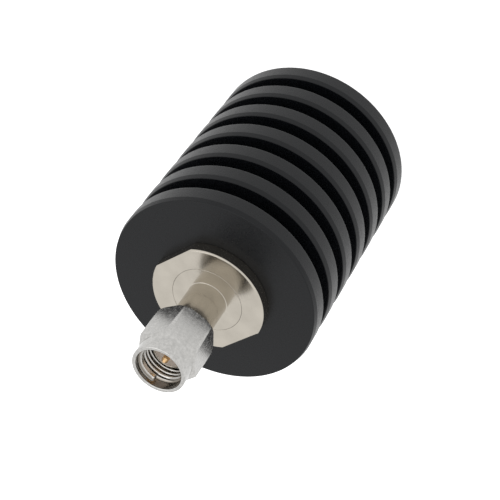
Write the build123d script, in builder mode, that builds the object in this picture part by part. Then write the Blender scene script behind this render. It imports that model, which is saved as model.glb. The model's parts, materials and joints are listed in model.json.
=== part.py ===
from build123d import *
import os

os.makedirs("parts", exist_ok=True)

# Coaxial dummy load: a finned heat sink that stands on its rear face, with a plug connector on top.
# Millimetres. The origin is the centre of the rear face, and +Z runs along the axis towards the plug.

# Heat sink
sink_diameter = 30.0
fin_count = 7
fin_thickness = 3.0
groove_width = 2.5
groove_depth = 6.0
fin_front_chamfer = 0.5
base_thickness = 4.0
slug_bore_diameter = 10.5
thread_diameter = 12.0
thread_relief_length = 0.5

# Mounting flange
flange_diameter = 16.5
flange_thickness = 1.8
flange_across_flats = 15.0
flange_edge_chamfer = 0.15
shank_end_chamfer = 0.4

# Plug body
disc_diameter = 10.2
disc_thickness = 1.5
spigot_diameter = 6.6
spigot_length = 1.5
stem_diameter = 5.7
stem_root_fillet = 0.25
journal_diameter = 5.5
barrel_diameter = 4.6
barrel_wall = 0.25
barrel_edge_chamfer = 0.08

# Lengths along the plug: face to nut, nut back to shoulder, shoulder to reference plane, pin beyond it
nut_back_height = 8.3
journal_length = 2.7
barrel_length = 2.5
pin_projection = 1.5

# Coupling nut
nut_length = 8.4
nut_across_flats = 7.94
nut_rear_chamfer = 0.5
nut_hex_length = 6.1
nut_collar_wall = 0.575
nut_collar_edge = 0.1
coupling_thread_diameter = 6.35
nut_mouth_chamfer = 0.22
nut_turn = 18.0

# Retaining ring and its two grooves
ring_width = 0.6
ring_height_above_nut_back = 1.3
ring_groove_depth = 0.345
ring_radial_width = 0.725
ring_split = 1.2
ring_play = 0.1

# Gasket, on a step round the root of the barrel
gasket_thickness = 0.55
gasket_radial_width = 0.5
gasket_seat_step = 0.2

# Centre contact
pin_diameter = 0.915
pin_tip_length = 0.3
pin_tip_diameter = 0.4
contact_diameter = 1.27
socket_diameter = 1.9
socket_bore_diameter = 0.94
socket_depth = 2.2
socket_slot_width = 0.25
dielectric_recess = 0.05

# Support bead
bead_thickness = 1.5
bead_gap = 0.12

# Resistor
rod_diameter = 3.0
rod_length = 10.0
front_cap_length = 1.8
lead_length = 1.7
rear_cap_length = 2.5
cap_wall = 0.15
cap_overlap = 0.8
socket_end_gap = 0.2

# Ground collet, its spring, washer and heat slug
collet_diameter = 7.8
collet_grip_length = 4.5
cap_inset = 2.2
collet_flange_gap = 0.2
collet_flange_thickness = 1.2
collet_slot_width = 0.5
collet_slot_count = 6
taper_front_diameter = 5.6
taper_end_diameter = 5.0
spring_thickness = 0.4
spring_height = 0.9
spring_bore_diameter = 5.0
washer_thickness = 0.6
washer_bore_diameter = 3.0

# Flat seal under the flange
seal_radial_width = 0.8
seal_thickness = 0.5

# Clearances, each on the radius or along the axis
seat_gap = 0.02
thread_gap = 0.03
nut_gap = 0.05
shoulder_gap = 0.3

# How far a cutting profile runs past the metal, and how near two radii count as the same
cut_margin = 1.0
same_size = 0.001

# Worked out from the sizes above
sink_radius = sink_diameter / 2
core_radius = sink_radius - groove_depth
fin_pitch = fin_thickness + groove_width
face_z = fin_count * fin_thickness + (fin_count - 1) * groove_width
flange_top_z = face_z + flange_thickness
shank_radius = thread_diameter / 2 - thread_gap
disc_bottom_z = flange_top_z - disc_thickness
spigot_end_z = disc_bottom_z - spigot_length

nut_back_z = face_z + nut_back_height
nut_front_z = nut_back_z + nut_length
shoulder_z = nut_back_z + journal_length
reference_z = shoulder_z + barrel_length
pin_tip_z = reference_z + pin_projection
stem_end_z = nut_back_z - shoulder_gap
dielectric_front_z = reference_z - dielectric_recess
ring_z = nut_back_z + ring_height_above_nut_back

bead_top_z = spigot_end_z
bead_bottom_z = bead_top_z - bead_thickness
bead_radius = spigot_diameter / 2 + seat_gap - bead_gap
socket_end_z = bead_bottom_z - socket_depth
front_cap_top_z = socket_end_z - socket_end_gap
rod_top_z = front_cap_top_z - front_cap_length + cap_overlap
rod_bottom_z = rod_top_z - rod_length
rear_cap_bottom_z = rod_bottom_z + cap_overlap - rear_cap_length
cap_radius = rod_diameter / 2 + seat_gap + cap_wall

shank_end_z = rear_cap_bottom_z - cap_inset
shank_length = face_z - shank_end_z
collet_top_z = shank_end_z + collet_grip_length
collet_flange_radius = slug_bore_diameter / 2 - collet_flange_gap
collet_flange_bottom_z = shank_end_z - collet_flange_thickness
spring_bottom_z = collet_flange_bottom_z - spring_height
washer_bottom_z = spring_bottom_z - washer_thickness
slug_radius = slug_bore_diameter / 2 - seat_gap

seal_outer_radius = thread_diameter / 2 + seal_radial_width
seal_pocket_depth = seal_thickness + seat_gap

barrel_radius = barrel_diameter / 2
plug_bore_radius = barrel_radius - barrel_wall
journal_radius = journal_diameter / 2
ring_groove_radius = journal_radius - ring_groove_depth
ring_inner_radius = ring_groove_radius + seat_gap
ring_outer_radius = ring_inner_radius + ring_radial_width
nut_bore_radius = journal_radius + nut_gap
coupling_thread_radius = coupling_thread_diameter / 2
hex_corner_radius = nut_across_flats / 3**0.5
nut_hex_top_z = nut_back_z + nut_hex_length
collar_radius = coupling_thread_radius + nut_collar_wall
nut_ring_groove_radius = ring_outer_radius + ring_play
gasket_seat_radius = barrel_radius + gasket_seat_step
gasket_inner_radius = gasket_seat_radius + seat_gap
gasket_bottom_z = shoulder_z + seat_gap
gasket_seat_top_z = gasket_bottom_z + gasket_thickness + seat_gap
contact_radius = contact_diameter / 2


# Heat sink: a turned bar with a blind bore and a ring of air between every two fins
with BuildPart() as heat_sink:
    Cylinder(sink_radius, face_z, align=(Align.CENTER, Align.CENTER, Align.MIN))
    for index in range(fin_count - 1):
        with BuildSketch(Plane.XY.offset(fin_thickness + index * fin_pitch)):
            Circle(sink_radius + cut_margin)
            Circle(core_radius, mode=Mode.SUBTRACT)
        extrude(amount=groove_width, mode=Mode.SUBTRACT)
    rims = heat_sink.edges().filter_by(GeomType.CIRCLE)
    rims = rims.filter_by(lambda rim: abs(rim.radius - sink_radius) < same_size)
    chamfer(rims.sort_by(Axis.Z)[1::2], fin_front_chamfer)
    with Locations((0, 0, face_z)):
        CounterBoreHole(
            radius=thread_diameter / 2,
            counter_bore_radius=seal_outer_radius + seat_gap,
            counter_bore_depth=seal_pocket_depth,
            depth=shank_length + thread_relief_length,
        )
        Hole(slug_bore_diameter / 2, depth=face_z - base_thickness)
heat_sink.part.label = "heat_sink"
export_step(heat_sink.part, "parts/heat_sink.step")


# Mounting flange: head with two wrench flats, threaded shank, tapered bore round the resistor
with BuildPart() as mounting_flange:
    with BuildSketch(Plane.XY.offset(face_z)):
        Circle(flange_diameter / 2)
        Rectangle(flange_across_flats, flange_diameter + cut_margin, mode=Mode.INTERSECT)
    extrude(amount=flange_thickness)
    head_top = mounting_flange.faces().sort_by(Axis.Z)[-1]
    chamfer(head_top.edges(), flange_edge_chamfer)
    with BuildSketch(Plane.XY.offset(shank_end_z)):
        Circle(shank_radius)
    extrude(amount=shank_length)
    shank_end = mounting_flange.faces().sort_by(Axis.Z)[0]
    chamfer(shank_end.edges(), shank_end_chamfer)
    with Locations((0, 0, flange_top_z)):
        CounterBoreHole(
            radius=spigot_diameter / 2 + seat_gap,
            counter_bore_radius=disc_diameter / 2 + seat_gap,
            counter_bore_depth=disc_thickness,
            depth=flange_top_z - bead_bottom_z,
        )
    with BuildSketch(Plane.XY.offset(bead_bottom_z)):
        Circle(taper_front_diameter / 2)
    with BuildSketch(Plane.XY.offset(collet_top_z)):
        Circle(taper_end_diameter / 2)
    loft(mode=Mode.SUBTRACT)
    with BuildSketch(Plane.XY.offset(shank_end_z)):
        Circle(collet_diameter / 2 + seat_gap)
    extrude(amount=collet_grip_length, mode=Mode.SUBTRACT)
mounting_flange.part.label = "mounting_flange"
export_step(mounting_flange.part, "parts/mounting_flange.step")


# Plug body: disc and spigot in the flange, stem, journal for the nut, and barrel
with BuildPart() as plug_body:
    with BuildSketch(Plane.XZ):
        with BuildLine():
            Polyline(
                (plug_bore_radius, spigot_end_z),
                (spigot_diameter / 2, spigot_end_z),
                (spigot_diameter / 2, disc_bottom_z),
                (disc_diameter / 2, disc_bottom_z),
                (disc_diameter / 2, flange_top_z),
                (stem_diameter / 2, flange_top_z),
                (stem_diameter / 2, stem_end_z),
                (journal_radius, stem_end_z),
                (journal_radius, ring_z - seat_gap),
                (ring_groove_radius, ring_z - seat_gap),
                (ring_groove_radius, ring_z + ring_width + seat_gap),
                (journal_radius, ring_z + ring_width + seat_gap),
                (journal_radius, shoulder_z),
                (gasket_seat_radius, shoulder_z),
                (gasket_seat_radius, gasket_seat_top_z),
                (barrel_radius, gasket_seat_top_z),
                (barrel_radius, reference_z),
                (plug_bore_radius, reference_z),
                close=True,
            )
        make_face()
    revolve(axis=Axis.Z)
    stem_root = plug_body.edges().filter_by(GeomType.CIRCLE)
    stem_root = stem_root.filter_by(lambda rim: abs(rim.radius - stem_diameter / 2) < same_size)
    fillet(stem_root.sort_by(Axis.Z)[0], stem_root_fillet)
    barrel_front = plug_body.faces().sort_by(Axis.Z)[-1]
    chamfer(barrel_front.edges(), barrel_edge_chamfer)
plug_body.part.label = "plug_body"
export_step(plug_body.part, "parts/plug_body.step")


# Coupling nut: hexagon with both ends turned to a cone, round collar, stepped bore with a ring groove
with BuildPart() as coupling_nut:
    with BuildSketch(Plane.XY.offset(nut_back_z)):
        RegularPolygon(radius=hex_corner_radius, side_count=6, rotation=nut_turn)
    extrude(amount=nut_hex_length)
    with BuildSketch(Plane.XZ):
        with BuildLine():
            Polyline(
                (0, nut_back_z),
                (hex_corner_radius - nut_rear_chamfer, nut_back_z),
                (hex_corner_radius, nut_back_z + nut_rear_chamfer),
                (hex_corner_radius, nut_hex_top_z - hex_corner_radius + collar_radius),
                (collar_radius, nut_hex_top_z),
                (0, nut_hex_top_z),
                close=True,
            )
        make_face()
    revolve(axis=Axis.Z, mode=Mode.INTERSECT)
    with BuildSketch(Plane.XY.offset(nut_hex_top_z)):
        Circle(collar_radius)
    extrude(amount=nut_front_z - nut_hex_top_z)
    chamfer(coupling_nut.faces().sort_by(Axis.Z)[-1].edges(), nut_collar_edge)
    with Locations((0, 0, nut_front_z)):
        CounterSinkHole(
            radius=coupling_thread_radius,
            counter_sink_radius=coupling_thread_radius + nut_mouth_chamfer,
            counter_sink_angle=90,
            depth=nut_front_z - shoulder_z + ring_play,
        )
        Hole(nut_bore_radius)
    with BuildSketch(Plane.XY.offset(ring_z - ring_play)):
        Circle(nut_ring_groove_radius)
    extrude(amount=ring_width + 2 * ring_play, mode=Mode.SUBTRACT)
coupling_nut.part.label = "coupling_nut"
export_step(coupling_nut.part, "parts/coupling_nut.step")


# Retaining ring: flat spring ring with a split, half in the plug body and half in the nut
with BuildPart() as nut_retaining_ring:
    with BuildSketch(Plane.XY.offset(ring_z)):
        Circle(ring_outer_radius)
        Circle(ring_inner_radius, mode=Mode.SUBTRACT)
        with Locations((0, ring_outer_radius)):
            Rectangle(ring_split, ring_outer_radius, mode=Mode.SUBTRACT)
    extrude(amount=ring_width)
nut_retaining_ring.part.label = "nut_retaining_ring"
export_step(nut_retaining_ring.part, "parts/nut_retaining_ring.step")


# Gasket: soft ring on the shoulder, round the step at the root of the barrel
with BuildPart() as nut_gasket:
    with BuildSketch(Plane.XY.offset(gasket_bottom_z)):
        Circle(gasket_inner_radius + gasket_radial_width)
        Circle(gasket_inner_radius, mode=Mode.SUBTRACT)
    extrude(amount=gasket_thickness)
nut_gasket.part.label = "nut_gasket"
export_step(nut_gasket.part, "parts/nut_gasket.step")


# Centre contact: pin with a tapered tip, rod through the dielectric, slotted rear socket
with BuildPart() as center_contact:
    with BuildSketch(Plane.XZ):
        with BuildLine():
            Polyline(
                (0, socket_end_z),
                (socket_diameter / 2, socket_end_z),
                (socket_diameter / 2, bead_bottom_z - seat_gap),
                (contact_radius, bead_bottom_z - seat_gap),
                (contact_radius, dielectric_front_z),
                (pin_diameter / 2, dielectric_front_z),
                (pin_diameter / 2, pin_tip_z - pin_tip_length),
                (pin_tip_diameter / 2, pin_tip_z),
                (0, pin_tip_z),
                close=True,
            )
        make_face()
    revolve(axis=Axis.Z)
    with BuildSketch(Plane.XY.offset(socket_end_z)):
        Circle(socket_bore_diameter / 2)
    extrude(amount=socket_depth - socket_end_gap, mode=Mode.SUBTRACT)
    with BuildSketch(Plane.XY.offset(socket_end_z)):
        with PolarLocations(0, 2, angular_range=180):
            Rectangle(socket_diameter + cut_margin, socket_slot_width)
    extrude(amount=socket_depth - 2 * socket_end_gap, mode=Mode.SUBTRACT)
center_contact.part.label = "center_contact"
export_step(center_contact.part, "parts/center_contact.step")


# Plug dielectric: sleeve between the centre contact and the plug body
with BuildPart() as plug_dielectric:
    with BuildSketch(Plane.XY.offset(bead_top_z)):
        Circle(plug_bore_radius - seat_gap)
        Circle(contact_radius + seat_gap, mode=Mode.SUBTRACT)
    extrude(amount=dielectric_front_z - bead_top_z)
plug_dielectric.part.label = "plug_dielectric"
export_step(plug_dielectric.part, "parts/plug_dielectric.step")


# Support bead: holds the contact in the middle of the flange's bore, below the spigot
with BuildPart() as support_bead:
    with BuildSketch(Plane.XY.offset(bead_bottom_z)):
        Circle(bead_radius)
        Circle(contact_radius + seat_gap, mode=Mode.SUBTRACT)
    extrude(amount=bead_thickness)
support_bead.part.label = "support_bead"
export_step(support_bead.part, "parts/support_bead.step")


# Resistor rod: ceramic rod with its film
with BuildPart() as resistor_rod:
    with BuildSketch(Plane.XY.offset(rod_bottom_z)):
        Circle(rod_diameter / 2)
    extrude(amount=rod_length)
resistor_rod.part.label = "resistor_rod"
export_step(resistor_rod.part, "parts/resistor_rod.step")


# Front end cap: cup on the rod's front end, with a lead into the contact's socket
with BuildPart() as front_end_cap:
    with BuildSketch(Plane.XY.offset(front_cap_top_z - front_cap_length)):
        Circle(cap_radius)
    extrude(amount=front_cap_length)
    with BuildSketch(Plane.XY.offset(front_cap_top_z)):
        Circle(socket_bore_diameter / 2 - seat_gap)
    extrude(amount=lead_length)
    with BuildSketch(Plane.XY.offset(front_cap_top_z - front_cap_length)):
        Circle(rod_diameter / 2 + seat_gap)
    extrude(amount=cap_overlap, mode=Mode.SUBTRACT)
front_end_cap.part.label = "front_end_cap"
export_step(front_end_cap.part, "parts/front_end_cap.step")


# Rear end cap: cup on the rod's rear end, held by the collet
with BuildPart() as rear_end_cap:
    with BuildSketch(Plane.XY.offset(rear_cap_bottom_z)):
        Circle(cap_radius)
    extrude(amount=rear_cap_length)
    with BuildSketch(Plane.XY.offset(rod_bottom_z)):
        Circle(rod_diameter / 2 + seat_gap)
    extrude(amount=cap_overlap, mode=Mode.SUBTRACT)
rear_end_cap.part.label = "rear_end_cap"
export_step(rear_end_cap.part, "parts/rear_end_cap.step")


# Ground collet: slotted sleeve round the rear cap, with a flange under the shank
with BuildPart() as ground_collet:
    with BuildSketch(Plane.XY.offset(collet_flange_bottom_z)):
        Circle(collet_flange_radius)
    extrude(amount=collet_flange_thickness)
    with BuildSketch(Plane.XY.offset(shank_end_z)):
        Circle(collet_diameter / 2)
    extrude(amount=collet_grip_length)
    with BuildSketch(Plane.XY.offset(collet_flange_bottom_z)):
        Circle(cap_radius + seat_gap)
    extrude(amount=collet_flange_thickness + collet_grip_length, mode=Mode.SUBTRACT)
    with BuildSketch(Plane.XY.offset(shank_end_z)):
        with PolarLocations(collet_diameter / 2, collet_slot_count):
            Rectangle(collet_diameter, collet_slot_width)
    extrude(amount=collet_grip_length, mode=Mode.SUBTRACT)
ground_collet.part.label = "ground_collet"
export_step(ground_collet.part, "parts/ground_collet.step")


# Disc spring: dished washer that presses the collet against the shank
with BuildPart() as disc_spring:
    with BuildSketch(Plane.XZ):
        with BuildLine():
            Polyline(
                (spring_bore_diameter / 2, collet_flange_bottom_z - spring_thickness),
                (spring_bore_diameter / 2, collet_flange_bottom_z),
                (collet_flange_radius, spring_bottom_z + spring_thickness),
                (collet_flange_radius, spring_bottom_z),
                close=True,
            )
        make_face()
    revolve(axis=Axis.Z)
disc_spring.part.label = "disc_spring"
export_step(disc_spring.part, "parts/disc_spring.step")


# Thrust washer: flat washer under the disc spring
with BuildPart() as thrust_washer:
    with BuildSketch(Plane.XY.offset(washer_bottom_z)):
        Circle(collet_flange_radius)
        Circle(washer_bore_diameter / 2, mode=Mode.SUBTRACT)
    extrude(amount=washer_thickness)
thrust_washer.part.label = "thrust_washer"
export_step(thrust_washer.part, "parts/thrust_washer.step")


# Heat slug: copper plug that fills the bottom of the sink's bore
with BuildPart() as heat_slug:
    with BuildSketch(Plane.XY.offset(base_thickness)):
        Circle(slug_radius)
    extrude(amount=washer_bottom_z - base_thickness)
heat_slug.part.label = "heat_slug"
export_step(heat_slug.part, "parts/heat_slug.step")


# Flange seal: flat soft ring in the pocket at the mouth of the sink's thread
with BuildPart() as flange_seal:
    with BuildSketch(Plane.XY.offset(face_z - seal_pocket_depth)):
        Circle(seal_outer_radius)
        Circle(thread_diameter / 2, mode=Mode.SUBTRACT)
    extrude(amount=seal_thickness)
flange_seal.part.label = "flange_seal"
export_step(flange_seal.part, "parts/flange_seal.step")
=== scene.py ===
import json
import math

import bmesh
import bpy
from mathutils import Euler, Matrix, Vector


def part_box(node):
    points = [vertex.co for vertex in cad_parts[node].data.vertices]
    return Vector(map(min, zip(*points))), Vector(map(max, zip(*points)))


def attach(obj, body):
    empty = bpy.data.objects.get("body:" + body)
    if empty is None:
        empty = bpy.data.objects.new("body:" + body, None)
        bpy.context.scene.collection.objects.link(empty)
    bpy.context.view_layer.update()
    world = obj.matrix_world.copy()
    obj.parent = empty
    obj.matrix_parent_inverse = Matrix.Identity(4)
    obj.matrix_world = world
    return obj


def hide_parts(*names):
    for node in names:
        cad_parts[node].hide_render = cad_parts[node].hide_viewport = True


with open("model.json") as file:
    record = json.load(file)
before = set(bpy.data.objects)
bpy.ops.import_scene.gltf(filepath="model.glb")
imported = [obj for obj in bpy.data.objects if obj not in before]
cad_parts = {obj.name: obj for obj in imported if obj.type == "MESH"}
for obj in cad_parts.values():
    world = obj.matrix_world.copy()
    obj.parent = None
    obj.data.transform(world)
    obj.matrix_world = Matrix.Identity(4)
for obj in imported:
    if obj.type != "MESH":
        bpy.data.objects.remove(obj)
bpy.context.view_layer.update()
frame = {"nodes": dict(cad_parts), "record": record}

# Looks of the coaxial dummy load: fine meshes for the turned pieces that show, the finish of every
# surface, soft light and the camera. Metres, with the part's axis along Z.

MM = 0.001
TURN = 2 * math.pi

# Heat sink
sink_low, sink_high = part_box("heat_sink")
sink_radius = sink_high.x
face_z = sink_high.z
fin_count = 7
fin_thickness = 3.0 * MM
groove_width = (face_z - fin_count * fin_thickness) / (fin_count - 1)
groove_depth = 6.0 * MM
groove_floor_radius = sink_radius - groove_depth
fin_taper_length = 0.7 * MM
fin_taper_depth = 0.2 * MM
fin_rear_edge = 0.15 * MM
chamfer_edge = 0.08 * MM
groove_fillet = 0.3 * MM
slug_low, slug_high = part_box("heat_slug")
seat_gap = 0.02 * MM
sink_steps = 192

# Mounting flange
flange_low, flange_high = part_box("mounting_flange")
flange_radius = flange_high.y
flat_distance = flange_high.x
flange_edge_chamfer = 0.16 * MM
flange_edge_round = 0.08 * MM
thread_radius = 6.0 * MM
thread_gap = 0.03 * MM
thread_relief = 0.5 * MM
shank_end_chamfer = 0.4 * MM
joint_edge = 0.05 * MM
flat_steps = 24
arc_steps = 72
seal_low, seal_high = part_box("flange_seal")

# Plug body
disc_radius = 5.1 * MM
disc_thickness = 1.5 * MM
spigot_radius = 3.3 * MM
spigot_length = 1.5 * MM
stem_radius = 2.85 * MM
stem_root_fillet = 0.1 * MM
stem_end_edge = 0.08 * MM
shoulder_gap = 0.3 * MM
plug_steps = 144
journal_radius = 2.75 * MM
ring_groove_depth = 0.345 * MM
gasket_seat_radius = 2.5 * MM
gasket_low, gasket_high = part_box("nut_gasket")
barrel_radius = 2.3 * MM
barrel_bore_radius = 2.05 * MM
barrel_edge = 0.08 * MM
dielectric_recess = 0.05 * MM
taper_front_radius = 2.8 * MM
taper_end_radius = 2.5 * MM
collet_radius = 3.9 * MM

# Coupling nut
nut_low, nut_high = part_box("coupling_nut")
nut_across_flats = 7.94 * MM
nut_apothem = nut_across_flats / 2
nut_corner_radius = nut_across_flats / math.sqrt(3)
nut_turn = math.radians(18)
nut_hex_top_z = nut_low.z + 6.1 * MM
nut_rear_chamfer = 0.5 * MM
nut_corner_edge = 0.42 * MM
nut_crease_edge = 0.05 * MM
collar_radius = 3.75 * MM
collar_edge = 0.12 * MM
cone_margin = 0.06 * MM
mouth_round = 0.12 * MM
mouth_depth = 3 * mouth_round
flats_margin = 0.30 * nut_corner_edge
nut_bore_radius = 2.8 * MM
ring_play = 0.1 * MM
ring_low, ring_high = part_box("nut_retaining_ring")

# Coupling thread, 1/4-36
thread_pitch = 25.4 / 36 * MM
thread_major_radius = 3.175 * MM
thread_minor_radius = 2.82 * MM
thread_rear_z = nut_low.z + 3.9 * MM
thread_front_z = nut_high.z - 0.82 * MM
thread_row = 0.03 * MM
thread_root_share = 0.12
thread_flank_share = 0.30
first_groove_z = nut_high.z - 1.82 * MM
first_groove_angle = math.radians(113)
blunt_start_angle = math.radians(118)
blunt_end_angle = math.radians(300)
blunt_depth = 0.6 * MM
recess_radius = 3.22 * MM
lead_in_slope = 2.2

# Painted shade in the thread's roots, and a painted highlight on the crests: radii from the crests outwards
highlight_crest_radius = thread_minor_radius + 0.03 * MM
root_shade_start_radius = 2.86 * MM
root_shade_full_radius = 3.12 * MM
root_shade_fade_radius = 3.20 * MM
root_shade_end_radius = 3.24 * MM

# Centre contact
contact_low, contact_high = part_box("center_contact")
dielectric_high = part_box("plug_dielectric")[1]
bead_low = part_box("support_bead")[0]
pin_radius = 0.4575 * MM
pin_tip_length = 0.3 * MM
pin_tip_radius = 0.2 * MM
pin_tip_edge = 0.05 * MM
pin_shoulder_edge = 0.08 * MM
contact_steps = 64
contact_radius = 0.635 * MM
socket_bore_radius = 0.47 * MM
socket_bore_depth = 2.0 * MM

# Camera, as the photograph was taken: direction from the part, distance, roll and aim
camera_azimuth = 23.32
camera_elevation = 45.99
camera_roll = -145.37
camera_distance = 199.54 * MM
camera_aim_height = 25.03 * MM
camera_aim_aside = -0.95 * MM
camera_lens = 101.73
camera_sensor = 36

# Light: the plain level on the object, the white of the background, the floor and one weak lamp
LIGHT_PLAIN = (0.9, 0.9, 0.9)
WHITE = (1.0, 1.0, 1.0)
floor_half = 1.5
floor_grey = 0.8
floor_glow = 0.8
lamp_place = (0.1, 0.1, 0.5)
lamp_aim = (0, 0, 0.02)
lamp_size = 0.3
lamp_power = 0.3

# Rounded corners: how far an arc and the points beside it may reach along an edge
arc_margin = 0.12 * MM
arc_share = 0.40
support_share = 0.48
no_length = 1e-9
straight_margin = 1e-4

# Meshes: corners closer than the first length are joined, edges shorter than the second one dropped
merge_distance = 2e-7
least_edge = 1e-8

# Finishes: the middle range of a noise, which its two ends are spread over
noise_low = 0.3
noise_high = 0.7
cloud_grains = 12


def corner_points(before, corner, after, radius, steps):
    """Points of the arc that rounds one corner of an outline, steps + 1 of them, and one on each side,
    which keep the faces beside the arc flat."""
    a = Vector(before) - Vector(corner)
    b = Vector(after) - Vector(corner)
    if radius == 0 or a.length < no_length or b.length < no_length:
        return [Vector(corner)] * (steps + 3 if radius else 1)
    half = a.angle(b) / 2
    reach = min(radius / math.tan(half), arc_share * a.length, arc_share * b.length)
    start = Vector(corner) + a.normalized() * reach
    end = Vector(corner) + b.normalized() * reach
    first = Vector(corner) + a.normalized() * min(reach + arc_margin, support_share * a.length)
    last = Vector(corner) + b.normalized() * min(reach + arc_margin, support_share * b.length)
    if abs(half - math.pi / 2) < straight_margin:
        return [first] + [start.lerp(end, i / steps) for i in range(steps + 1)] + [last]
    centre = Vector(corner) + (a.normalized() + b.normalized()).normalized() * reach / math.cos(half)
    swing = math.pi - 2 * half
    side = 1 if (start - centre).cross(end - centre) > 0 else -1
    arc = []
    for i in range(steps + 1):
        angle = side * swing * i / steps
        arc.append(centre + Matrix.Rotation(angle, 2) @ (start - centre))
    return [first] + arc + [last]


def rounded(corners, closed=True, steps=4):
    """An outline in (radius, height) from corners (radius, height, rounding)."""
    points = []
    count = len(corners)
    for i, (r, z, rounding) in enumerate(corners):
        if not closed and i in (0, count - 1):
            points.append(Vector((r, z)))
            continue
        before = corners[i - 1][:2]
        after = corners[(i + 1) % count][:2]
        points.extend(corner_points(before, (r, z), after, rounding, steps))
    return points


def even_angles(count):
    return [TURN * i / count for i in range(count)]


def mesh_object(name, points, faces):
    """A smooth closed mesh object, with doubled points merged and its normals outward."""
    mesh = bpy.data.meshes.new(name)
    shape = bmesh.new()
    corners = [shape.verts.new(point) for point in points]
    for face in faces:
        unique = []
        for index in face:
            if corners[index] not in unique:
                unique.append(corners[index])
        if len(unique) > 2 and shape.faces.get(unique) is None:
            shape.faces.new(unique)
    bmesh.ops.remove_doubles(shape, verts=shape.verts, dist=merge_distance)
    bmesh.ops.dissolve_degenerate(shape, edges=shape.edges, dist=least_edge)
    bmesh.ops.recalc_face_normals(shape, faces=shape.faces)
    for face in shape.faces:
        face.smooth = True
    shape.to_mesh(mesh)
    shape.free()
    piece = bpy.data.objects.new(name, mesh)
    bpy.context.scene.collection.objects.link(piece)
    weighted = piece.modifiers.new("weighted normals", "WEIGHTED_NORMAL")
    weighted.mode = "FACE_AREA"
    weighted.weight = 100
    return piece


def turned(name, outline_at, angles):
    """Turns an outline round the axis. outline_at gives the outline, in (radius, height), at an angle."""
    rings = [outline_at(angle) for angle in angles]
    length = len(rings[0])
    points = []
    for angle, ring in zip(angles, rings):
        for point in ring:
            points.append((point.x * math.cos(angle), point.x * math.sin(angle), point.y))
    faces = []
    for i in range(len(angles)):
        here = i * length
        there = ((i + 1) % len(angles)) * length
        for k in range(length):
            after = (k + 1) % length
            faces.append((here + k, there + k, there + after, here + after))
    return mesh_object(name, points, faces)


def dress(piece, material, body, node):
    """Gives a new piece its finish, the body it rides on and the node it stands for."""
    piece.data.materials.append(material)
    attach(piece, body)
    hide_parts(node)
    return piece


def make_heat_sink():
    """Seven fins on a round core, with the blind bore behind the flange."""
    pitch = fin_thickness + groove_width
    corners = [(0, 0, 0)]
    for i in range(fin_count):
        rear = i * pitch
        front = rear + fin_thickness
        if i:
            corners.append((groove_floor_radius, rear, groove_fillet))
        corners.append((sink_radius, rear, fin_rear_edge))
        corners.append((sink_radius, front - fin_taper_length, chamfer_edge))
        corners.append((sink_radius - fin_taper_depth, front, chamfer_edge))
        if i < fin_count - 1:
            corners.append((groove_floor_radius, front, groove_fillet))
    pocket_radius = seal_high.x + seat_gap
    shank_end_z = flange_low.z
    corners += [
        (pocket_radius, face_z, chamfer_edge / 2),
        (pocket_radius, seal_low.z, 0),
        (thread_radius, seal_low.z, 0),
        (thread_radius, shank_end_z - thread_relief, 0),
        (slug_high.x + seat_gap, shank_end_z - thread_relief, 0),
        (slug_high.x + seat_gap, slug_low.z, 0),
        (0, slug_low.z, 0),
    ]
    outline = rounded(corners, steps=3)
    return turned("heat_sink_turned", lambda angle: outline, even_angles(sink_steps))


def flange_rim(angle):
    """Radius of the flange's rim, which two wrench flats cut at +X and -X."""
    across = abs(math.cos(angle))
    if across * flange_radius < flat_distance:
        return flange_radius
    return flat_distance / across


def make_mounting_flange():
    """Flange head with two flats and the shank behind it, round the resistor's space."""
    top = flange_high.z
    counterbore = top - disc_thickness
    bead_bottom = bead_low.z
    shank = thread_radius - thread_gap
    collet_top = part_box("ground_collet")[1].z

    def outline_at(angle):
        rim = flange_rim(angle)
        return rounded([
            (shank, face_z, 0),
            (rim, face_z, flange_edge_round),
            (rim, top - flange_edge_chamfer, flange_edge_round),
            (rim - flange_edge_chamfer, top, flange_edge_round),
            (disc_radius + seat_gap, top, joint_edge),
            (disc_radius + seat_gap, counterbore, 0),
            (spigot_radius + seat_gap, counterbore, 0),
            (spigot_radius + seat_gap, bead_bottom, 0),
            (taper_front_radius, bead_bottom, 0),
            (taper_end_radius, collet_top, 0),
            (collet_radius + seat_gap, collet_top, 0),
            (collet_radius + seat_gap, flange_low.z, 0),
            (shank - shank_end_chamfer, flange_low.z, 0),
            (shank, flange_low.z + shank_end_chamfer, 0),
        ], steps=3)

    corner = math.acos(flat_distance / flange_radius)
    angles = []
    for start in (-corner, math.pi - corner):
        angles += [start + 2 * corner * i / flat_steps for i in range(flat_steps)]
        arc = math.pi - 2 * corner
        angles += [start + 2 * corner + arc * i / arc_steps for i in range(arc_steps)]
    return turned("mounting_flange_turned", outline_at, angles)


def make_plug_body():
    """Disc and spigot in the flange, stem, journal, gasket seat and barrel."""
    top = flange_high.z
    disc_bottom = top - disc_thickness
    stem_end = nut_low.z - shoulder_gap
    groove = journal_radius - ring_groove_depth
    front = dielectric_high.z + dielectric_recess
    outline = rounded([
        (barrel_bore_radius, disc_bottom - spigot_length, 0),
        (spigot_radius, disc_bottom - spigot_length, 0),
        (spigot_radius, disc_bottom, 0),
        (disc_radius, disc_bottom, 0),
        (disc_radius, top, joint_edge),
        (stem_radius, top, stem_root_fillet),
        (stem_radius, stem_end, stem_end_edge),
        (journal_radius, stem_end, 0),
        (journal_radius, ring_low.z - seat_gap, 0),
        (groove, ring_low.z - seat_gap, 0),
        (groove, ring_high.z + seat_gap, 0),
        (journal_radius, ring_high.z + seat_gap, 0),
        (journal_radius, gasket_low.z - seat_gap, 0),
        (gasket_seat_radius, gasket_low.z - seat_gap, 0),
        (gasket_seat_radius, gasket_high.z + seat_gap, 0),
        (barrel_radius, gasket_high.z + seat_gap, 0),
        (barrel_radius, front, barrel_edge),
        (barrel_bore_radius, front, barrel_edge),
    ], steps=6)
    return turned("plug_body_turned", lambda angle: outline, even_angles(plug_steps))


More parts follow.
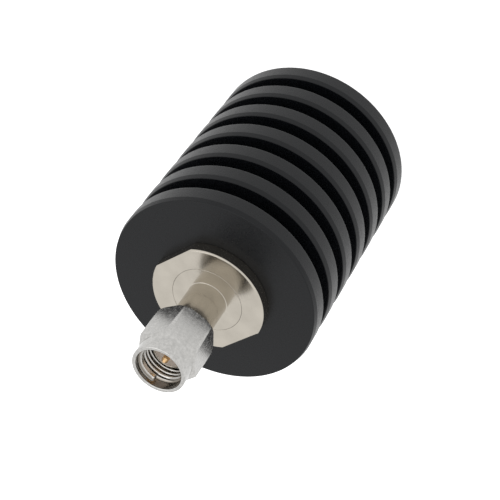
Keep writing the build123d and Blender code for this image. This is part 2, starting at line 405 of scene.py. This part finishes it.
def make_center_contact():
    """Pin with a rounded tip, and the contact rod and socket behind it."""
    tip = contact_high.z
    rear = contact_low.z
    shoulder = bead_low.z - seat_gap
    outline = rounded([
        (0, tip, 0),
        (pin_tip_radius, tip, pin_tip_edge),
        (pin_radius, tip - pin_tip_length, pin_shoulder_edge),
        (pin_radius, dielectric_high.z, 0),
        (contact_radius, dielectric_high.z, 0),
        (contact_radius, shoulder, 0),
        (contact_high.x, shoulder, 0),
        (contact_high.x, rear, 0),
        (socket_bore_radius, rear, 0),
        (socket_bore_radius, rear + socket_bore_depth, 0),
        (0, rear + socket_bore_depth, 0),
    ], steps=6)
    return turned("center_contact_turned", lambda angle: outline, even_angles(contact_steps))


def hexagon_outline(flat_steps, corner_steps):
    """Angles and radii of the nut's hexagon, with rounded corners."""
    centre_radius = (nut_apothem - nut_corner_edge) / math.cos(math.pi / 6)
    points = []
    for side in range(6):
        middle = nut_turn + side * math.pi / 3
        centre = Vector((math.cos(middle), math.sin(middle))) * centre_radius
        for i in range(corner_steps + 1):
            angle = middle - math.pi / 6 + math.pi / 3 * i / corner_steps
            points.append(centre + Vector((math.cos(angle), math.sin(angle))) * nut_corner_edge)
        following = middle + math.pi / 3
        end = Vector((math.cos(following), math.sin(following))) * centre_radius
        facet = middle + math.pi / 6
        end += Vector((math.cos(facet), math.sin(facet))) * nut_corner_edge
        start = points[-1]
        points += [start.lerp(end, i / flat_steps) for i in range(1, flat_steps)]
    return [(math.atan2(p.y, p.x) % TURN, p.length) for p in points]


def bore_radius_at(z, angle):
    """Radius of the threaded bore: right-hand grooves, a plain first land with a blunt start, a lead-in."""
    front = thread_front_z
    if blunt_start_angle < angle < blunt_end_angle:
        front -= blunt_depth
    place = (z - first_groove_z) / thread_pitch - (angle - first_groove_angle) / TURN
    off_groove = abs(place - round(place))
    height = min(max((off_groove - thread_root_share / 2) / thread_flank_share, 0), 1)
    if place > 0.5:
        height = 1
    depth = (thread_major_radius - thread_minor_radius) * height
    lead_in = max(recess_radius - lead_in_slope * (front - z), 0)
    run_out = thread_major_radius - (z - thread_rear_z)
    return min(max(thread_major_radius - depth, lead_in, run_out), recess_radius)


def make_coupling_nut():
    """Hexagon with turned chamfers, round collar, and the threaded bore over the journal."""
    outline = sorted(hexagon_outline(flat_steps=28, corner_steps=8))
    angles = [angle for angle, radius in outline]
    back = nut_low.z
    top = nut_hex_top_z
    front = nut_high.z
    rear_start = nut_corner_radius - nut_rear_chamfer
    shoulder = gasket_low.z - seat_gap - ring_play
    groove_radius = ring_high.x + ring_play
    columns = []
    for angle, radius in outline:
        rear_reach = max(radius - rear_start, nut_crease_edge)
        outer = rounded([
            (nut_bore_radius, back, 0),
            (radius - rear_reach, back, nut_crease_edge),
            (radius, back + rear_reach, nut_crease_edge),
            (radius, top - (radius - collar_radius), nut_crease_edge),
            (collar_radius, top, nut_crease_edge),
            (collar_radius, front, collar_edge),
            (recess_radius, front, mouth_round),
            (recess_radius, front - mouth_depth, 0),
        ], closed=False, steps=4)
        columns.append(outer)
    row_count = math.ceil((thread_front_z - thread_rear_z) / thread_row)
    threads = []
    for row in range(row_count + 1):
        z = thread_front_z - row * (thread_front_z - thread_rear_z) / row_count
        threads.append([(bore_radius_at(z, angle), z) for angle in angles])
    inner = [
        (thread_major_radius, shoulder),
        (nut_bore_radius, shoulder),
        (nut_bore_radius, ring_high.z + ring_play),
        (groove_radius, ring_high.z + ring_play),
        (groove_radius, ring_low.z - ring_play),
        (nut_bore_radius, ring_low.z - ring_play),
    ]
    outer_count = len(columns[0])
    rings = []
    for k in range(outer_count):
        rings.append([(column[k].x, column[k].y) for column in columns])
    rings += threads
    for point in inner:
        rings.append([point] * len(angles))
    points = []
    for ring in rings:
        for angle, (r, z) in zip(angles, ring):
            points.append((r * math.cos(angle), r * math.sin(angle), z))
    count = len(angles)
    faces = []
    for ring in range(len(rings)):
        here = ring * count
        there = ((ring + 1) % len(rings)) * count
        for column in range(count):
            beside = (column + 1) % count
            faces.append((here + column, here + beside, there + beside, there + column))
    return mesh_object("coupling_nut_turned", points, faces)


def new_material(name):
    """Starts a finish afresh. The frame's own plain material of that name makes way for it."""
    plain = bpy.data.materials.get(name)
    if plain:
        plain.name = name + "_plain"
    material = bpy.data.materials.new(name)
    material.use_nodes = True
    return material, material.node_tree, material.node_tree.nodes["Principled BSDF"]


def node(tree, kind, **settings):
    made = tree.nodes.new(kind)
    for key, value in settings.items():
        setattr(made, key, value)
    return made


def maths(tree, operation, first, second=None):
    made = node(tree, "ShaderNodeMath", operation=operation)
    for socket, value in zip(made.inputs, (first, second)):
        if isinstance(value, bpy.types.NodeSocket):
            tree.links.new(value, socket)
        elif value is not None:
            socket.default_value = value
    return made.outputs[0]


def mixed(tree, factor, first, second):
    """Passes from the first colour to the second one; each is a socket or a plain colour."""
    mix = node(tree, "ShaderNodeMix", data_type="RGBA")
    tree.links.new(factor, mix.inputs["Factor"])
    for socket, value in ((mix.inputs["A"], first), (mix.inputs["B"], second)):
        if isinstance(value, bpy.types.NodeSocket):
            tree.links.new(value, socket)
        else:
            socket.default_value = (*value, 1)
    return mix.outputs["Result"]


def grain(tree, size, detail=2.0, roughness=0.5):
    """Noise whose spots are about size across."""
    place = node(tree, "ShaderNodeTexCoord").outputs["Object"]
    noise = node(tree, "ShaderNodeTexNoise")
    tree.links.new(place, noise.inputs["Vector"])
    noise.inputs["Scale"].default_value = 1 / size
    noise.inputs["Detail"].default_value = detail
    noise.inputs["Roughness"].default_value = roughness
    return noise.outputs["Fac"]


def distance_from_axis(tree, place):
    flat = node(tree, "ShaderNodeVectorMath", operation="MULTIPLY")
    tree.links.new(place, flat.inputs[0])
    flat.inputs[1].default_value = (1, 1, 0)
    length = node(tree, "ShaderNodeVectorMath", operation="LENGTH")
    tree.links.new(flat.outputs["Vector"], length.inputs[0])
    return length.outputs["Value"]


def turning_marks(tree, size, lean=0.62):
    """Fine rings round the axis, as a lathe tool leaves them on faces and on cylinders alike."""
    place = node(tree, "ShaderNodeTexCoord").outputs["Object"]
    split = node(tree, "ShaderNodeSeparateXYZ")
    tree.links.new(place, split.inputs[0])
    radius = distance_from_axis(tree, place)
    along = maths(tree, "ADD", radius, maths(tree, "MULTIPLY", split.outputs["Z"], lean))
    noise = node(tree, "ShaderNodeTexNoise", noise_dimensions="1D")
    tree.links.new(along, noise.inputs["W"])
    noise.inputs["Scale"].default_value = 1 / size
    noise.inputs["Detail"].default_value = 3.0
    return noise.outputs["Fac"]


def spread(tree, value, low, high):
    """Maps a noise's middle range onto low to high."""
    made = node(tree, "ShaderNodeMapRange")
    tree.links.new(value, made.inputs["Value"])
    made.inputs["From Min"].default_value = noise_low
    made.inputs["From Max"].default_value = noise_high
    made.inputs["To Min"].default_value = low
    made.inputs["To Max"].default_value = high
    return made.outputs["Result"]


def shades(tree, value, dark, light):
    """A colour between dark and light."""
    ramp = node(tree, "ShaderNodeValToRGB")
    tree.links.new(value, ramp.inputs["Fac"])
    ramp.color_ramp.elements[0].position = noise_low
    ramp.color_ramp.elements[0].color = (*dark, 1)
    ramp.color_ramp.elements[1].position = noise_high
    ramp.color_ramp.elements[1].color = (*light, 1)
    return ramp.outputs["Color"]


def bumps(tree, shader, *layers):
    """Stacks bump layers (height value, depth in metres) on a shader's normal."""
    normal = None
    for value, depth in layers:
        bump = node(tree, "ShaderNodeBump")
        bump.inputs["Strength"].default_value = 1.0
        bump.inputs["Distance"].default_value = depth
        tree.links.new(value, bump.inputs["Height"])
        if normal is not None:
            tree.links.new(normal, bump.inputs["Normal"])
        normal = bump.outputs["Normal"]
    tree.links.new(normal, shader.inputs["Normal"])


def black_anodised():
    """Dyed oxide on turned and blasted aluminium: near black, satin, with a fine speckle."""
    material, tree, shader = new_material("black_anodised")
    speckle = grain(tree, 0.18 * MM, detail=3.0, roughness=0.6)
    patches = grain(tree, 0.55 * MM, detail=3.0, roughness=0.6)
    marks = turning_marks(tree, 0.11 * MM)
    black = shades(tree, speckle, (0.0030, 0.0036, 0.0046), (0.0054, 0.0061, 0.0076))
    tree.links.new(black, shader.inputs["Base Color"])
    rough = maths(tree, "ADD", spread(tree, speckle, 0.26, 0.34), spread(tree, patches, -0.04, 0.04))
    tree.links.new(rough, shader.inputs["Roughness"])
    shader.inputs["IOR"].default_value = 1.34
    bumps(tree, shader, (patches, 0.010 * MM), (speckle, 0.014 * MM), (marks, 0.0006 * MM))
    return material


def satin_metal(name, dark, light, rough, mark_depth, grain_depth):
    """Turned plated metal: rings from the tool, a fine grain and slow changes of tone."""
    material, tree, shader = new_material(name)
    fine = grain(tree, 0.14 * MM, detail=3.0)
    cloud = grain(tree, 2.5 * MM)
    marks = turning_marks(tree, 0.07 * MM)
    tree.links.new(shades(tree, cloud, dark, light), shader.inputs["Base Color"])
    ringed = spread(tree, marks, rough - 0.02, rough + 0.02)
    tree.links.new(maths(tree, "ADD", ringed, spread(tree, fine, -0.02, 0.02)), shader.inputs["Roughness"])
    shader.inputs["Metallic"].default_value = 1.0
    bumps(tree, shader, (marks, mark_depth), (fine, grain_depth))
    return material


def on_flats(tree, place):
    """1 on the nut's milled flats, 0 on its turned surfaces and rounded corners."""
    split = node(tree, "ShaderNodeSeparateXYZ")
    tree.links.new(place, split.inputs[0])
    radius = distance_from_axis(tree, place)
    outside = maths(tree, "GREATER_THAN", radius, collar_radius + cone_margin)
    inside = maths(tree, "LESS_THAN", radius, nut_corner_radius - flats_margin)
    cone = nut_hex_top_z + collar_radius - cone_margin
    behind_cone = maths(tree, "LESS_THAN", maths(tree, "ADD", radius, split.outputs["Z"]), cone)
    return maths(tree, "MULTIPLY", maths(tree, "MULTIPLY", outside, inside), behind_cone)


def nut_finish():
    """Milled and turned plated metal with a mottled satin, painted brown shade in the thread's roots and a
    painted highlight on its crests.
    """
    material, tree, shader = new_material("nut_metal")
    fine = grain(tree, 0.14 * MM, detail=3.0)
    mottle = grain(tree, 0.45 * MM, detail=4.0, roughness=0.65)
    marks = turning_marks(tree, 0.07 * MM)
    place = node(tree, "ShaderNodeTexCoord").outputs["Object"]
    radius = distance_from_axis(tree, place)
    # Painted highlight: the thread's crests get a pale, nearly white colour.
    painted_crest_highlight = maths(tree, "LESS_THAN", radius, highlight_crest_radius)
    silver = shades(tree, mottle, (0.44, 0.435, 0.42), (0.62, 0.61, 0.59))
    silver_with_highlight = mixed(tree, painted_crest_highlight, silver, (0.96, 0.92, 0.86))
    # Painted shade: brown that grows from the crests into the thread's roots and fades out towards the
    # recess.
    depth = node(tree, "ShaderNodeMapRange", interpolation_type="SMOOTHSTEP")
    tree.links.new(radius, depth.inputs["Value"])
    depth.inputs["From Min"].default_value = root_shade_start_radius
    depth.inputs["From Max"].default_value = root_shade_full_radius
    outside = node(tree, "ShaderNodeMapRange")
    tree.links.new(radius, outside.inputs["Value"])
    outside.inputs["From Min"].default_value = root_shade_fade_radius
    outside.inputs["From Max"].default_value = root_shade_end_radius
    outside.inputs["To Min"].default_value = 1.0
    outside.inputs["To Max"].default_value = 0.0
    painted_root_shade = maths(tree, "MULTIPLY", depth.outputs["Result"], outside.outputs["Result"])
    colour = mixed(tree, painted_root_shade, silver_with_highlight, (0.22, 0.195, 0.165))
    tree.links.new(colour, shader.inputs["Base Color"])
    turned_rough = maths(tree, "ADD", spread(tree, mottle, 0.12, 0.20), spread(tree, fine, -0.02, 0.02))
    extra = maths(tree, "MULTIPLY", on_flats(tree, place), spread(tree, mottle, 0.04, 0.08))
    tree.links.new(maths(tree, "ADD", turned_rough, extra), shader.inputs["Roughness"])
    shader.inputs["Metallic"].default_value = 1.0
    bumps(tree, shader, (mottle, 0.0022 * MM), (marks, 0.0002 * MM), (fine, 0.0012 * MM))
    return material


def plain_stuff(name, dark, light, rough, grain_size, grain_depth):
    """Plastic, rubber or ceramic with its own grain."""
    material, tree, shader = new_material(name)
    fine = grain(tree, grain_size, detail=3.0)
    cloud = grain(tree, cloud_grains * grain_size)
    tree.links.new(shades(tree, cloud, dark, light), shader.inputs["Base Color"])
    tree.links.new(spread(tree, fine, rough - 0.06, rough + 0.06), shader.inputs["Roughness"])
    bumps(tree, shader, (fine, grain_depth))
    return material


def make_materials():
    materials = {"black_anodised": black_anodised(), "nut_metal": nut_finish()}
    for name, dark, light, rough, mark_depth, grain_depth in (
        ("flange_metal", (0.50, 0.465, 0.405), (0.56, 0.52, 0.455), 0.17, 0.00008, 0.0002),
        ("plug_metal", (0.50, 0.465, 0.405), (0.56, 0.52, 0.455), 0.16, 0.00008, 0.0002),
        ("gold_plate", (0.80, 0.52, 0.26), (0.90, 0.62, 0.34), 0.22, 0.0004, 0.0006),
        ("collet_metal", (0.72, 0.52, 0.30), (0.80, 0.60, 0.36), 0.30, 0.0008, 0.0006),
        ("cap_metal", (0.66, 0.64, 0.58), (0.74, 0.72, 0.66), 0.28, 0.0004, 0.0006),
        ("spring_metal", (0.40, 0.40, 0.40), (0.52, 0.51, 0.50), 0.35, 0.0008, 0.0006),
        ("copper", (0.70, 0.36, 0.24), (0.80, 0.46, 0.32), 0.35, 0.0012, 0.0006),
    ):
        materials[name] = satin_metal(name, dark, light, rough, mark_depth * MM, grain_depth * MM)
    for name, dark, light, rough, grain_size, grain_depth in (
        # The dielectric's beige is darker than the white insulator itself: painted shade of the deep bore
        # it sits in.
        ("dielectric", (0.46, 0.395, 0.34), (0.56, 0.49, 0.425), 0.42, 0.10, 0.0015),
        ("bead_plastic", (0.62, 0.45, 0.24), (0.70, 0.53, 0.30), 0.40, 0.12, 0.0015),
        ("seal_rubber", (0.018, 0.018, 0.019), (0.032, 0.031, 0.031), 0.60, 0.08, 0.0030),
        ("ceramic", (0.80, 0.79, 0.75), (0.88, 0.87, 0.83), 0.50, 0.06, 0.0010),
    ):
        materials[name] = plain_stuff(name, dark, light, rough, grain_size * MM, grain_depth * MM)
    return materials


def repaint_nodes(materials):
    """Gives every CAD node the finish of its slot in the record."""
    slots = {part["node"]: part["material_slot"] for part in frame["record"]["subparts"]}
    for name, piece in frame["nodes"].items():
        piece.data.materials.clear()
        piece.data.materials.append(materials[slots[name]])


def make_pieces(materials):
    for make, node_name, slot, body in (
        (make_heat_sink, "heat_sink", "black_anodised", "load"),
        (make_mounting_flange, "mounting_flange", "flange_metal", "load"),
        (make_plug_body, "plug_body", "plug_metal", "load"),
        (make_center_contact, "center_contact", "gold_plate", "load"),
        (make_coupling_nut, "coupling_nut", "nut_metal", "coupling_nut"),
    ):
        dress(make(), materials[slot], body, node_name)


def make_camera():
    turn = Euler((math.radians(90 - camera_elevation), 0, math.radians(camera_azimuth)))
    turn = turn.to_matrix()
    aside = turn @ Vector((1, 0, 0))
    back = turn @ Vector((0, 0, 1))
    aim = Vector((0, 0, camera_aim_height)) + aside * camera_aim_aside
    data = bpy.data.cameras.new("camera")
    data.sensor_width = camera_sensor
    data.lens = camera_lens
    data.clip_start = 10 * MM
    data.clip_end = 10
    camera = bpy.data.objects.new("camera", data)
    bpy.context.scene.collection.objects.link(camera)
    turn = turn @ Matrix.Rotation(math.radians(camera_roll), 3, "Z")
    camera.matrix_world = Matrix.Translation(aim + back * camera_distance) @ turn.to_4x4()
    bpy.context.scene.camera = camera


def make_floor():
    """Large pale floor that only the camera sees, with the part's soft shadow."""
    half = floor_half
    mesh = bpy.data.meshes.new("floor")
    corners = [(-half, -half, 0), (half, -half, 0), (half, half, 0), (-half, half, 0)]
    mesh.from_pydata(corners, [], [(0, 1, 2, 3)])
    floor = bpy.data.objects.new("floor", mesh)
    floor.location.z = sink_low.z
    bpy.context.scene.collection.objects.link(floor)
    material, tree, shader = new_material("floor")
    shader.inputs["Base Color"].default_value = (floor_grey, floor_grey, floor_grey, 1)
    shader.inputs["Roughness"].default_value = 0.9
    shader.inputs["Specular IOR Level"].default_value = 0.0
    shader.inputs["Emission Color"].default_value = (*WHITE, 1)
    shader.inputs["Emission Strength"].default_value = floor_glow
    mesh.materials.append(material)
    floor.visible_diffuse = False
    floor.visible_glossy = False
    floor.visible_transmission = False
    floor.visible_shadow = False


def make_world():
    """White to the camera and in metal and glass, and a plain level of light on the object."""
    world = bpy.data.worlds.new("world")
    bpy.context.scene.world = world
    world.use_nodes = True
    tree = world.node_tree
    path = node(tree, "ShaderNodeLightPath").outputs
    mirrored = maths(tree, "MAXIMUM", path["Is Glossy Ray"], path["Is Transmission Ray"])
    background = maths(tree, "MAXIMUM", path["Is Camera Ray"], mirrored)
    colour = mixed(tree, background, LIGHT_PLAIN, WHITE)
    tree.links.new(colour, tree.nodes["Background"].inputs["Color"])


def make_lamp():
    """One weak softbox above the part."""
    data = bpy.data.lights.new("top_softbox", "AREA")
    data.shape = "RECTANGLE"
    data.size = lamp_size
    data.size_y = lamp_size
    data.energy = lamp_power
    lamp = bpy.data.objects.new("top_softbox", data)
    bpy.context.scene.collection.objects.link(lamp)
    lamp.location = lamp_place
    lamp.rotation_euler = (Vector(lamp_aim) - Vector(lamp_place)).to_track_quat("-Z", "Y").to_euler()
    lamp.visible_camera = False


materials = make_materials()
repaint_nodes(materials)
make_pieces(materials)
make_camera()
make_floor()
make_world()
make_lamp()
bpy.context.scene.view_settings.view_transform = "Standard"
